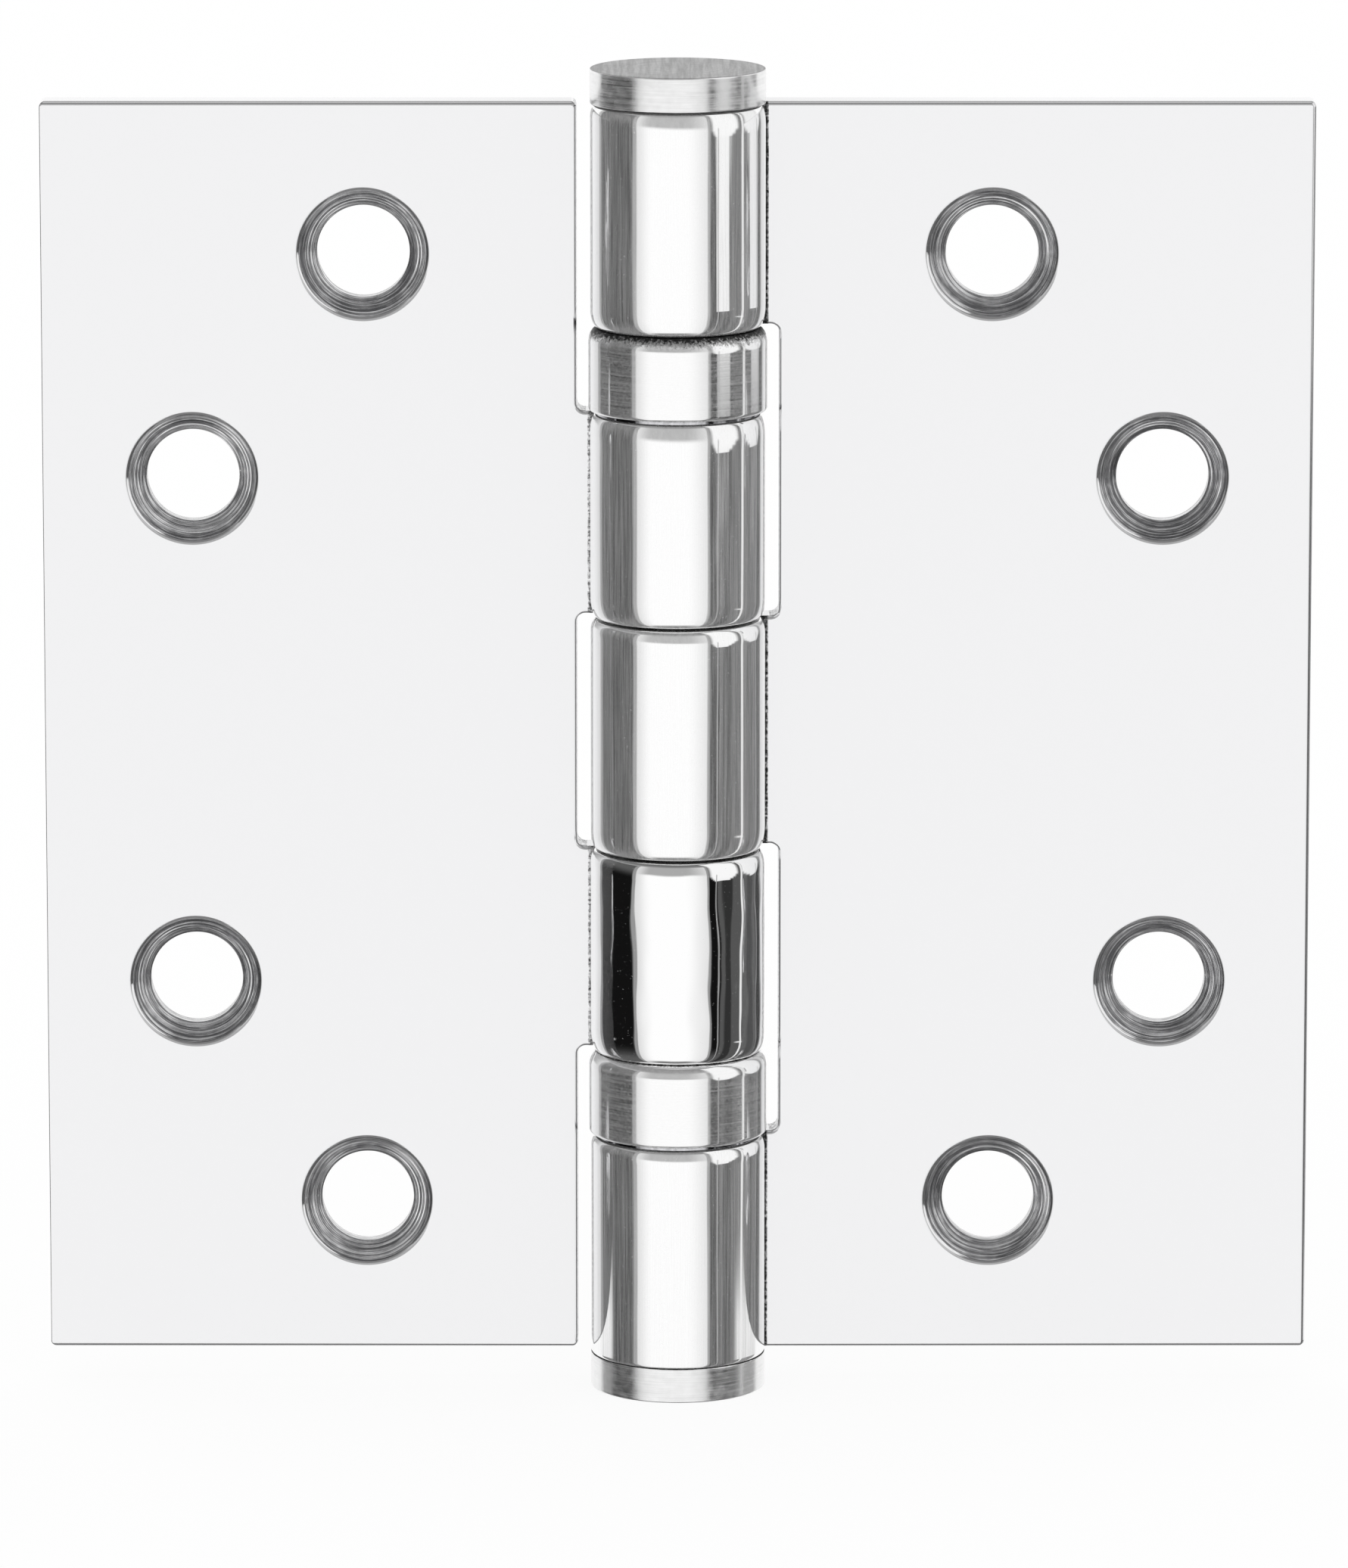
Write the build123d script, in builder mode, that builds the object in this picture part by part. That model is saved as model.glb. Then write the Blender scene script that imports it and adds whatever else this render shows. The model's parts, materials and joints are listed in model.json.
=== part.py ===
"""Ball bearing butt hinge, five knuckles, open flat.

Millimetres. +Z runs up the pin, the countersunk faces look towards -Y, and the origin lies on the pin
axis at mid height. The right leaf (+X) carries the top, middle and bottom knuckles, the left leaf (-X)
the two between them. A caged thrust ball bearing stands under the top knuckle and another over the
bottom knuckle, and a button tip closes each end of the barrel.
"""

from build123d import *
from math import sqrt
import os

# Leaves: flat plates, cut away where the other leaf's knuckles and the bearings turn
leaf_height = 100.0
leaf_reach = 50.0  # pin axis to outer edge
leaf_thickness = 3.0
face_offset = 0.8  # pin axis to countersunk face, half of the gap between the closed leaves
edge_chamfer = 0.25
cutout_clearance = 0.9  # bearing ring to the edge of a cut-out
cutout_radius = 0.8
swage_radius = 3.0  # hollow bend where the back of the plate steps up to the barrel

# Pin and knuckles
pin_radius = 3.85
running_clearance = 0.05
middle_knuckle = 18.3
end_knuckle = 17.6
knuckle_gap = 0.2
knuckle_bevel_length = 1.0  # softened ends, along the barrel
knuckle_bevel_depth = 0.45  # and towards the axis
seam_width = 0.2  # slit where the rolled edge comes back to the plate
match_tolerance = 1e-6  # for picking corners by their place

# Button tips
tip_height = 2.75
spigot_length = 5.0
spigot_clearance = 0.02

# Screw holes, two staggered pairs on each leaf
hole_radius = 3.65
countersink_radius = 5.2
countersink_angle = 90.0
inner_pair_reach = 24.7
inner_pair_height = 38.0
outer_pair_reach = 38.2
outer_pair_height = 20.2

# Thrust bearings: a housing with the upper raceway, a cage of balls and a lower race
bearing_height = 6.9
bearing_radius = 7.05
bearing_bevel_length = 1.0
bearing_bevel_depth = 0.65
skirt_wall = 0.5
skirt_gap = 0.25  # open slit under the housing
bearing_pin_clearance = 0.1
race_clearance = 0.1
ball_count = 8
ball_radius = 0.9
ball_sides = 8
ball_clearance = 0.03
cage_thickness = 0.6
cage_clearance = 0.1
pocket_clearance = 0.05

# Barrel radii
bore_radius = pin_radius + running_clearance
knuckle_radius = bore_radius + leaf_thickness
cutout_edge = bearing_radius + cutout_clearance
back_offset = face_offset + leaf_thickness

# Levels along the pin, from the top down to the middle knuckle
end_top = leaf_height / 2
end_bottom = end_top - end_knuckle
inner_top = end_bottom - bearing_height
middle_top = middle_knuckle / 2
inner_bottom = middle_top + knuckle_gap

right_knuckles = ((end_bottom, end_top), (-middle_top, middle_top), (-end_top, -end_bottom))
left_knuckles = ((inner_bottom, inner_top), (-inner_top, -inner_bottom))

# Bearing radii and the path of the balls
bearing_bore = pin_radius + bearing_pin_clearance
skirt_inner = bearing_radius - skirt_wall
race_outer = skirt_inner - race_clearance
cage_inner = bearing_bore + cage_clearance
cage_outer = skirt_inner - cage_clearance
pitch_radius = (cage_inner + cage_outer) / 2
raceway_gap = 2 * (ball_radius + ball_clearance)
pocket_side = 2 * (ball_radius + pocket_clearance)

# The hollow bend touches the plate's back at bend_reach and the barrel at bend_touch
bend_reach = sqrt((knuckle_radius + swage_radius) ** 2 - (back_offset + swage_radius) ** 2)
bend_share = knuckle_radius / (knuckle_radius + swage_radius)
bend_touch = (bend_share * bend_reach, bend_share * (back_offset + swage_radius))


def make_leaf(side, knuckles):
    """A leaf with its rolled knuckles: side is 1 for the right leaf and -1 for the left."""
    with BuildPart() as leaf:
        # Plate, with a tab at each knuckle that runs in to the pin axis
        with BuildSketch(Plane.XZ.offset(-back_offset)) as outline:
            with Locations((side * (cutout_edge + leaf_reach) / 2, 0)):
                Rectangle(leaf_reach - cutout_edge, leaf_height)
            for low, high in knuckles:
                with Locations((side * cutout_edge / 2, (low + high) / 2)):
                    Rectangle(cutout_edge, high - low)
            inner_corners = outline.vertices().filter_by(
                lambda v: abs(abs(v.X) - cutout_edge) < match_tolerance
                and abs(v.Y) < end_top - match_tolerance
            )
            fillet(inner_corners, cutout_radius)
        extrude(amount=leaf_thickness)
        broad_faces = leaf.faces().filter_by(Axis.Y)
        chamfer(broad_faces.edges(), edge_chamfer)

        for low, high in knuckles:
            # Rolled barrel with softened ends
            with BuildSketch(Plane.XZ):
                with BuildLine():
                    end_radius = knuckle_radius - knuckle_bevel_depth
                    Polyline(
                        (0, low),
                        (end_radius, low),
                        (knuckle_radius, low + knuckle_bevel_length),
                        (knuckle_radius, high - knuckle_bevel_length),
                        (end_radius, high),
                        (0, high),
                        close=True,
                    )
                make_face()
            revolve(axis=Axis.Z)
            # Hollow bend from the plate's back up to the barrel
            with BuildSketch(Plane.XY.offset(low)):
                with BuildLine():
                    foot = (side * bend_reach, back_offset)
                    touch = (side * bend_touch[0], bend_touch[1])
                    Polyline(touch, (0, face_offset), (side * bend_reach, face_offset), foot)
                    TangentArc(foot, touch, tangent=(-side, 0))
                make_face()
            extrude(amount=high - low)

        # Bore for the pin, and the seam where the rolled edge meets the countersunk face
        Cylinder(bore_radius, leaf_height, mode=Mode.SUBTRACT)
        with BuildSketch(Plane.XY.offset(-end_top)):
            with Locations((side * cutout_edge / 2, face_offset - seam_width / 2)):
                Rectangle(cutout_edge, seam_width)
        extrude(amount=leaf_height, mode=Mode.SUBTRACT)

        # Countersunk screw holes
        hole_places = []
        for reach, height in ((inner_pair_reach, inner_pair_height), (outer_pair_reach, outer_pair_height)):
            for z in (height, -height):
                hole_places.append(Plane((side * reach, face_offset, z), x_dir=(1, 0, 0), z_dir=(0, -1, 0)))
        with Locations(*hole_places):
            CounterSinkHole(hole_radius, countersink_radius, leaf_thickness, countersink_angle)
    return leaf.part


def make_tip(end):
    """A button tip with its spigot in the bore: end is 1 for the top and -1 for the bottom."""
    with BuildPart() as tip:
        with BuildSketch(Plane.XY.offset(end * end_top)):
            Circle(knuckle_radius)
        extrude(amount=end * tip_height)
        with BuildSketch(Plane.XY.offset(end * end_top)):
            Circle(bore_radius - spigot_clearance)
        extrude(amount=-end * spigot_length)
    return tip.part


def make_housing(base):
    """A bearing's outer ring over the knuckle at height base: bevelled shoulder, raceway and thin skirt."""
    top = base + bearing_height
    bottom = base + skirt_gap
    ceiling = base + (bearing_height + raceway_gap) / 2
    with BuildPart() as housing:
        with BuildSketch(Plane.XZ):
            with BuildLine():
                Polyline(
                    (bearing_bore, top),
                    (bearing_radius - bearing_bevel_depth, top),
                    (bearing_radius, top - bearing_bevel_length),
                    (bearing_radius, bottom),
                    (skirt_inner, bottom),
                    (skirt_inner, ceiling),
                    (bearing_bore, ceiling),
                    close=True,
                )
            make_face()
        revolve(axis=Axis.Z)
    return housing.part


def make_race(base):
    """The lower raceway of a bearing, a hardened washer on the knuckle at height base."""
    with BuildPart() as race:
        with BuildSketch(Plane.XY.offset(base)):
            Circle(race_outer)
            Circle(bearing_bore, mode=Mode.SUBTRACT)
        extrude(amount=(bearing_height - raceway_gap) / 2)
    return race.part


def make_cage(base):
    """The ring that spaces a bearing's balls, one square window for each."""
    with BuildPart() as cage:
        with BuildSketch(Plane.XY.offset(base + (bearing_height - cage_thickness) / 2)):
            Circle(cage_outer)
            Circle(cage_inner, mode=Mode.SUBTRACT)
            with PolarLocations(pitch_radius, ball_count):
                Rectangle(pocket_side, pocket_side, mode=Mode.SUBTRACT)
        extrude(amount=cage_thickness)
    return cage.part


def make_ball(base, place):
    """One ball of a bearing, kept to 26 flats round its sphere, one on each raceway."""
    across = Plane(place).offset(base + bearing_height / 2)
    along = Plane(across.origin, x_dir=across.x_dir, z_dir=across.y_dir)
    radial = Plane(across.origin, x_dir=across.y_dir, z_dir=across.x_dir)
    with BuildPart() as ball:
        for plane, mode in ((across, Mode.ADD), (along, Mode.INTERSECT), (radial, Mode.INTERSECT)):
            with BuildSketch(plane):
                RegularPolygon(ball_radius, ball_sides, major_radius=False, rotation=180 / ball_sides)
            extrude(amount=ball_radius, both=True, mode=mode)
    return ball.part


with BuildPart() as pin:
    Cylinder(pin_radius, leaf_height - 2 * spigot_length)

pieces = {
    "right_leaf": make_leaf(1, right_knuckles),
    "left_leaf": make_leaf(-1, left_knuckles),
    "hinge_pin": pin.part,
    "top_tip": make_tip(1),
    "bottom_tip": make_tip(-1),
}
for bearing, base in (("upper_bearing", inner_top), ("lower_bearing", -end_bottom)):
    pieces[f"{bearing}_housing"] = make_housing(base)
    pieces[f"{bearing}_race"] = make_race(base)
    pieces[f"{bearing}_cage"] = make_cage(base)
    for number, place in enumerate(PolarLocations(pitch_radius, ball_count), start=1):
        pieces[f"{bearing}_ball_{number}"] = make_ball(base, place)

os.makedirs("parts", exist_ok=True)
for name, piece in pieces.items():
    piece.label = name
    export_step(piece, f"parts/{name}.step")
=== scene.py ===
"""Looks of the ball bearing hinge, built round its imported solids.

Shapes are worked out in millimetres and written to Blender in metres. +Z runs up the pin, the countersunk
faces look towards -Y, and the right leaf lies at +X.
"""

from __future__ import annotations

import json
import logging
from dataclasses import dataclass, field
from enum import IntEnum
from math import asin, atan2, cos, pi, radians, sin, sqrt, tan
from typing import Any

import bmesh
import bpy
import numpy as np
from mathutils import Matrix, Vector
from mathutils.geometry import delaunay_2d_cdt

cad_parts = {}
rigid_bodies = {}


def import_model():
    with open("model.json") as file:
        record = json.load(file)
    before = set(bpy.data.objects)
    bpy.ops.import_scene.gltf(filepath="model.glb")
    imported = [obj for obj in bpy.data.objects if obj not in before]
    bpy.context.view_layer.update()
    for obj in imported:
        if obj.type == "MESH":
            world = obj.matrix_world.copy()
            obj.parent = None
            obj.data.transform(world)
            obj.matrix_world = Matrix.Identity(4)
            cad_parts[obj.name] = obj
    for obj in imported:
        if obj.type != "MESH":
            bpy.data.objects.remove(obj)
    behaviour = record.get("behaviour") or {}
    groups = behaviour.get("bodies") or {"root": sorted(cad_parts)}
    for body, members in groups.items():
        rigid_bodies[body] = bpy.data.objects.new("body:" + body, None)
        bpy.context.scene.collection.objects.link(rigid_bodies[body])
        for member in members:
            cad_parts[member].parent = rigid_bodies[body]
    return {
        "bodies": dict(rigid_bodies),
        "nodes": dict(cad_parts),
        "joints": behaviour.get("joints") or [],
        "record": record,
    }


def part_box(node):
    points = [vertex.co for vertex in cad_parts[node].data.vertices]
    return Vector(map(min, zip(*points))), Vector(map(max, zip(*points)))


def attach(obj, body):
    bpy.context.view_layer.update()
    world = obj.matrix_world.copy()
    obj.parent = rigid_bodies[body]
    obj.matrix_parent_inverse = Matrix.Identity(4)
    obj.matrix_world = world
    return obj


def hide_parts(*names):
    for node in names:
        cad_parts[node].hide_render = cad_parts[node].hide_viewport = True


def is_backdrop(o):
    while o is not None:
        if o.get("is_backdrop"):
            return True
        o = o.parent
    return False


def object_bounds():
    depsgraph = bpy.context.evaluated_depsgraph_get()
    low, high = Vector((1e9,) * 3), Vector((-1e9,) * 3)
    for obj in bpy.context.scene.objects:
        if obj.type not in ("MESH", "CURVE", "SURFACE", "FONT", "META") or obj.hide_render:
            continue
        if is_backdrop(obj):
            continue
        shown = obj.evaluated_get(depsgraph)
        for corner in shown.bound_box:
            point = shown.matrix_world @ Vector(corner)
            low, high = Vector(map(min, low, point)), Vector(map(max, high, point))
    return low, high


MM = 0.001
PHOTO_WIDTH = 1781
PHOTO_HEIGHT = 2072
WELD = 0.002  # patches of a piece meet within this, in millimetres
SHARP_ANGLE = radians(40)

log = logging.getLogger("hinge")


class Finish(IntEnum):
    """Finishes that a leaf's faces choose from, in the order of its material slots."""

    POLISHED = 0
    MIRROR = 1
    CUTTER = 2


def linear(colour: str) -> tuple[float, float, float, float]:
    """Turns an sRGB hex colour into linear light.

    Args:
        colour: Six hex digits.

    Returns:
        Red, green, blue and an alpha of one.
    """
    share = np.array([int(colour[i : i + 2], 16) for i in (0, 2, 4)]) / 255
    light = np.where(share <= 0.04045, share / 12.92, ((share + 0.055) / 1.055) ** 2.4)
    return (*light.tolist(), 1.0)


def add_node(
    tree: bpy.types.NodeTree, kind: str, inputs: dict[Any, Any] | None = None, **settings: Any
) -> bpy.types.Node:
    """Adds one node with its settings and links.

    Args:
        tree: Node tree to add to.
        kind: Blender's name of the node.
        inputs: Values or sockets, by the input's name or number.
        settings: The node's own properties.

    Returns:
        The new node.
    """
    node = tree.nodes.new(kind)
    for name, value in settings.items():
        setattr(node, name, value)
    for key, value in (inputs or {}).items():
        if isinstance(value, bpy.types.NodeSocket):
            tree.links.new(value, node.inputs[key])
        else:
            node.inputs[key].default_value = value
    return node


def new_material(name: str) -> tuple[bpy.types.Material, bpy.types.NodeTree, bpy.types.NodeSocket]:
    """Starts a material.

    Args:
        name: What the material is.

    Returns:
        The material, its nodes and the Object coordinates that its patterns read.
    """
    material = bpy.data.materials.new(name)
    material.use_nodes = True
    tree = material.node_tree
    return material, tree, add_node(tree, "ShaderNodeTexCoord").outputs["Object"]


# Shapes


def revolve(profile: np.ndarray, steps: int) -> np.ndarray:
    """Turns a profile about Z: each point (r, z) becomes a ring (r cos a, r sin a, z).

    Args:
        profile: Radius and height of each point.
        steps: Points round the ring.

    Returns:
        Points by profile row and by turn.
    """
    turn = np.linspace(0, 2 * pi, steps, endpoint=False)
    radius, height = profile[:, :1], profile[:, 1:]
    return np.stack((radius * np.cos(turn), radius * np.sin(turn), height + 0 * turn), axis=-1)


def round_over(
    start: tuple[float, float], end: tuple[float, float], along_first: bool, steps: int
) -> np.ndarray:
    """Quarter of an ellipse between two points of a profile.

    Args:
        start: First point.
        end: Last point.
        along_first: True where the curve leaves start along the first axis.
        steps: Steps of the quarter.

    Returns:
        Points from start to end.
    """
    angle = np.linspace(0, pi / 2, steps + 1)
    fast, slow = np.sin(angle), 1 - np.cos(angle)
    first, second = (fast, slow) if along_first else (slow, fast)
    across, along = end[0] - start[0], end[1] - start[1]
    return np.column_stack((start[0] + across * first, start[1] + along * second))


def rounded_path(
    corners: list[tuple[float, float]], radii: list[float], hold: float, steps: int
) -> tuple[np.ndarray, np.ndarray]:
    """Path of straight runs joined by arcs tangent to both, with the normal on its left.

    Args:
        corners: First point, corners and last point.
        radii: Arc radius at each corner between the first and the last point.
        hold: Length of the short run kept beside each arc, so that its shading ends there.
        steps: Steps of each arc.

    Returns:
        Points and unit normals.
    """
    points, normals = [], []
    for i, corner in enumerate(np.array(corners, float)):
        if i in (0, len(corners) - 1):
            beside = np.array(corners[1] if i == 0 else corners[-2], float)
            run = (beside - corner) * (1 if i == 0 else -1)
            run = run / np.linalg.norm(run)
            points.append([corner])
            normals.append([(-run[1], run[0])])
            continue
        before, after = corner - corners[i - 1], np.array(corners[i + 1], float) - corner
        before, after = before / np.linalg.norm(before), after / np.linalg.norm(after)
        bend = atan2(before[0] * after[1] - before[1] * after[0], before @ after)
        left = np.sign(bend)
        radius = radii[i - 1]
        reach = radius * tan(abs(bend) / 2)
        first = np.array((-before[1], before[0]))
        centre = corner - before * reach + first * radius * left
        angle = atan2(first[1], first[0]) + bend * np.linspace(0, 1, steps + 1)
        normal = np.column_stack((np.cos(angle), np.sin(angle)))
        arc = centre - normal * radius * left
        points.append(np.vstack((arc[:1] - before * hold, arc, arc[-1:] + after * hold)))
        normals.append(np.vstack((normal[:1], normal, normal[-1:])))
    return np.vstack(points), np.vstack(normals)


@dataclass
class Skin:
    """Patches of one piece, gathered in millimetres and welded into one closed mesh."""

    points: list[np.ndarray] = field(default_factory=list)
    corners: list[np.ndarray] = field(default_factory=list)
    sizes: list[np.ndarray] = field(default_factory=list)
    finishes: list[np.ndarray] = field(default_factory=list)
    grime: list[np.ndarray] = field(default_factory=list)
    buff: list[np.ndarray] = field(default_factory=list)
    count: int = 0

    def add(
        self, points: np.ndarray, faces: np.ndarray, finish: Any, grime: Any = 0.0, buff: Any = 0.0
    ) -> None:
        """Adds faces of one size.

        Args:
            points: Points of the patch.
            faces: Point numbers of each face.
            finish: Material slot of all faces, or one for each.
            grime: How much residue the polishing left at each point, and how much painted shade, 0 to 1.
            buff: How bright each point was buffed, 0 to 1; in the polished steel it also brings in a brighter
                colour, a painted brighter reflection.
        """
        for marks, value in ((self.grime, grime), (self.buff, buff)):
            marks.append(np.broadcast_to(np.asarray(value, float), points.shape[:-1]).ravel())
        self.points.append(points.reshape(-1, 3))
        self.corners.append((faces + self.count).ravel())
        self.sizes.append(np.full(len(faces), faces.shape[1]))
        self.finishes.append(np.broadcast_to(np.asarray(finish, int), len(faces)))
        self.count += len(self.points[-1])

    def grid(
        self,
        surface: np.ndarray,
        finish: Any = 0,
        wrap: tuple[bool, bool] = (False, False),
        grime: Any = 0.0,
        buff: Any = 0.0,
    ) -> None:
        """Adds a surface of two parameters as quads.

        Args:
            surface: Points by row and column.
            finish: Material slot, or one for each quad.
            wrap: Whether the rows and the columns close on themselves.
            grime: Residue and painted shade at each point.
            buff: Brightness of the polish at each point, which in the polished steel also paints a brighter
                reflection.
        """
        rows, columns = surface.shape[:2]
        number = np.arange(rows * columns).reshape(rows, columns)
        number = np.pad(number, ((0, int(wrap[0])), (0, int(wrap[1]))), mode="wrap")
        quads = np.stack((number[:-1, :-1], number[1:, :-1], number[1:, 1:], number[:-1, 1:]), axis=-1)
        self.add(surface, quads.reshape(-1, 4), finish, grime, buff)

    def cap(self, loop: np.ndarray, finish: Any = 0, grime: Any = 0.0, buff: Any = 0.0) -> None:
        """Adds one flat face inside a loop of points."""
        self.add(loop, np.arange(len(loop))[None, :], finish, grime, buff)

    def fill(self, loops: list[np.ndarray], level: float, finish: Any = 0) -> None:
        """Adds a flat face across Y, bounded by the first loop and pierced by the others.

        Args:
            loops: Points (x, z) of each closed loop, anticlockwise.
            level: Place of the face along Y.
            finish: Material slot.
        """
        starts = np.cumsum([0, *map(len, loops)])
        flat = np.vstack(loops).tolist()
        rings = [np.arange(first, end).tolist() for first, end in zip(starts, starts[1:])]
        places, _, faces, _, _, sources = delaunay_2d_cdt(flat, [], rings, 1, WELD / 10, True)
        kept = [face for face, source in zip(faces, sources) if list(source) == [0]]
        self.add(np.insert(np.array(places), 1, level, axis=1), np.array(kept), finish)

    def build(self, name: str, finishes: list[bpy.types.Material], mirror: bool = False) -> bpy.types.Object:
        """Welds the patches and makes the piece.

        Args:
            name: The piece's name.
            finishes: Materials by slot.
            mirror: True to mirror the piece in X.

        Returns:
            The piece, at the origin.
        """
        mesh = bpy.data.meshes.new(name)
        piece = bpy.data.objects.new(name, mesh)
        points = np.vstack(self.points) * MM * ((-1, 1, 1) if mirror else (1, 1, 1))
        corners, sizes = np.concatenate(self.corners), np.concatenate(self.sizes)
        mesh.vertices.add(len(points))
        mesh.vertices.foreach_set("co", points.astype(np.float32).ravel())
        mesh.loops.add(len(corners))
        mesh.loops.foreach_set("vertex_index", corners.astype(np.int32))
        mesh.polygons.add(len(sizes))
        mesh.polygons.foreach_set("loop_start", (np.cumsum(sizes) - sizes).astype(np.int32))
        for finish in finishes:
            mesh.materials.append(finish)
        mesh.polygons.foreach_set("material_index", np.concatenate(self.finishes).astype(np.int32))
        mesh.update(calc_edges=True)
        for label, marks in (("grime", self.grime), ("buff", self.buff)):
            mesh.attributes.new(label, "FLOAT", "POINT").data.foreach_set("value", np.concatenate(marks))
        welded = bmesh.new()
        welded.from_mesh(mesh)
        bmesh.ops.remove_doubles(welded, verts=welded.verts, dist=WELD * MM)
        bmesh.ops.recalc_face_normals(welded, faces=welded.faces)
        welded.to_mesh(mesh)
        welded.free()
        mesh.polygons.foreach_set("use_smooth", np.ones(len(mesh.polygons), bool))
        mesh.set_sharp_from_angle(angle=SHARP_ANGLE)
        bpy.context.scene.collection.objects.link(piece)
        return piece


@dataclass(frozen=True)
class EdgeRows:
    """Rows of points round one rounded side of a strip, from its inner face over the side to its outer face.

    A row lies at e = across * width + inner * r + outer * d + spare * hold from the inner face, and its inset
    from the side is back_inner * r + back_outer * l + back_spare * hold, where r is the rounding at the inner
    face and d by l the one at the outer face.
    """

    across: np.ndarray
    inner: np.ndarray
    outer: np.ndarray
    spare: np.ndarray
    back_inner: np.ndarray
    back_outer: np.ndarray
    back_spare: np.ndarray

    @classmethod
    def make(cls, inner_steps: int, outer_steps: int) -> EdgeRows:
        """Rows that follow a quarter circle at the inner face and a quarter ellipse at the outer one.

        Args:
            inner_steps: Steps of the rounding at the inner face.
            outer_steps: Steps of the rounding at the outer face.

        Returns:
            The rows' shares.
        """
        a = np.linspace(0, pi / 2, inner_steps + 1)
        b = np.linspace(0, pi / 2, outer_steps + 1)
        zero_a, zero_b, none, one = 0 * a, 0 * b, [0.0], [1.0]
        return cls(
            across=np.concatenate((none, zero_a, none, one, zero_b + 1, one)),
            inner=np.concatenate((none, 1 - np.cos(a), one, none, zero_b, none)),
            outer=np.concatenate((none, zero_a, none, [-1.0], np.sin(b) - 1, none)),
            spare=np.concatenate((none, zero_a, one, [-1.0], zero_b, none)),
            back_inner=np.concatenate((one, 1 - np.sin(a), none, none, zero_b, none)),
            back_outer=np.concatenate((none, zero_a, none, none, 1 - np.cos(b), one)),
            back_spare=np.concatenate((one, zero_a, none, none, zero_b, one)),
        )

    def place(self, width: Any, r: Any, d: Any, length: Any, hold: float) -> tuple[np.ndarray, np.ndarray]:
        """Distance from the inner face and inset from the side, for each station and row.

        Args:
            width: Thickness of the strip at each station.
            r: Rounding at the inner face.
            d: Depth of the rounding at the outer face.
            length: Length of the rounding at the outer face.
            hold: Short run kept beside each rounding.

        Returns:
            Two arrays, stations by rows.
        """
        width, r, d, length = (np.atleast_1d(value)[:, None] for value in (width, r, d, length))
        e = self.across * width + self.inner * r + self.outer * d + self.spare * hold
        inset = self.back_inner * r + self.back_outer * length + self.back_spare * hold
        return e, inset


@dataclass(frozen=True)
class Barrel:
    """Radii and levels of the barrel, in millimetres, read from the frame."""

    radius: float
    end_top: float
    end_bottom: float
    inner_top: float
    tip_top: float
    bore: float = 3.9
    middle_top: float = 9.15
    gap: float = 0.2

    @classmethod
    def from_frame(cls) -> Barrel:
        """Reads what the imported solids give: the tip, the housing and the race stand on the knuckles.

        Returns:
            The barrel.
        """
        tip_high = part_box("top_tip")[1] / MM
        leaf_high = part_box("right_leaf")[1] / MM
        return cls(
            radius=tip_high.x,
            end_top=leaf_high.z,
            end_bottom=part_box("upper_bearing_housing")[1].z / MM,
            inner_top=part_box("upper_bearing_race")[0].z / MM,
            tip_top=tip_high.z,
        )

    @property
    def inner_bottom(self) -> float:
        """Lower end of the second knuckle."""
        return self.middle_top + self.gap


@dataclass(frozen=True)
class ScrewHole:
    """One countersunk hole: rounded lip, cone with the cutter's rings and a straight land."""

    x: float
    z: float
    radius: float
    lip: float = 5.2
    lip_round: float = 0.5
    back_round: float = 0.15
    ridge_heights: tuple[float, float] = (0.022, 0.006)
    ridge_spacings: tuple[float, float] = (0.34, 0.17)
    ridge_shift: float = 1.0  # radians between the coarse and the fine ridges
    ridge_fade: float = 0.3  # power that lets the ridges start and end softly
    lip_steps: int = 6
    land_steps: int = 4
    ring_steps: int = 96
    cone_steps: int = 72

    def surface(self, front: float, back: float, hold: float) -> tuple[np.ndarray, np.ndarray]:
        """The hole's wall, as a profile turned about the screw.

        The cone's profile is a straight line at 45 degrees plus two sine waves across it, which are the rings
        that the cutter left.

        Args:
            front: Level of the countersunk face.
            back: Level of the leaf's back.
            hold: Flat run kept beside each rounding.

        Returns:
            Points by row and turn, and the finish of each quad.
        """
        reach = self.lip_round * tan(pi / 8)
        bend = np.linspace(0, pi / 4, self.lip_steps + 1)
        lip_r = self.lip + reach - self.lip_round * np.sin(bend)
        lip_y = front + self.lip_round * (1 - np.cos(bend))
        along = np.linspace(0, 1, self.cone_steps + 1)[1:]
        length = (lip_r[-1] - self.radius) * sqrt(2)
        turns = 2 * pi * along * length
        coarse = self.ridge_heights[0] * np.sin(turns / self.ridge_spacings[0])
        fine = self.ridge_heights[1] * np.sin(turns / self.ridge_spacings[1] + self.ridge_shift)
        wave = np.sin(pi * along) ** self.ridge_fade * (coarse + fine)
        cone_r = lip_r[-1] - (along * length + wave) / sqrt(2)
        cone_y = lip_y[-1] + (along * length - wave) / sqrt(2)
        land_end = (self.radius + self.back_round, back)
        land = round_over((self.radius, back - self.back_round), land_end, False, self.land_steps)
        radius = np.concatenate(([lip_r[0] + hold], lip_r, cone_r, land[:, 0], [land[-1, 0] + hold]))
        level = np.concatenate(([front], lip_y, cone_y, land[:, 1], [back]))
        rings = revolve(np.column_stack((radius, level)), self.ring_steps)
        surface = rings[..., [0, 2, 1]] + (self.x, 0, self.z)
        finish = np.full((len(radius) - 1, self.ring_steps), Finish.CUTTER)
        finish[: len(lip_r)] = Finish.POLISHED
        finish[-len(land) :] = Finish.POLISHED
        return surface, finish.ravel()


@dataclass(frozen=True)
class EndRound:
    """Rounding at one end of a knuckle, longer on the side where it was buffed harder."""

    depth: float = 0.45
    length: float = 1.2
    lean: float = 0.3
    towards: float = -60.0  # degrees about the pin, -90 to the viewer
    residue_and_shade_falloff: float = 4.0  # how fast the residue and painted shade thin out of the joint
    stain_and_shade: float = 0.45  # how dark the residue and painted shade are in the joint


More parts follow.
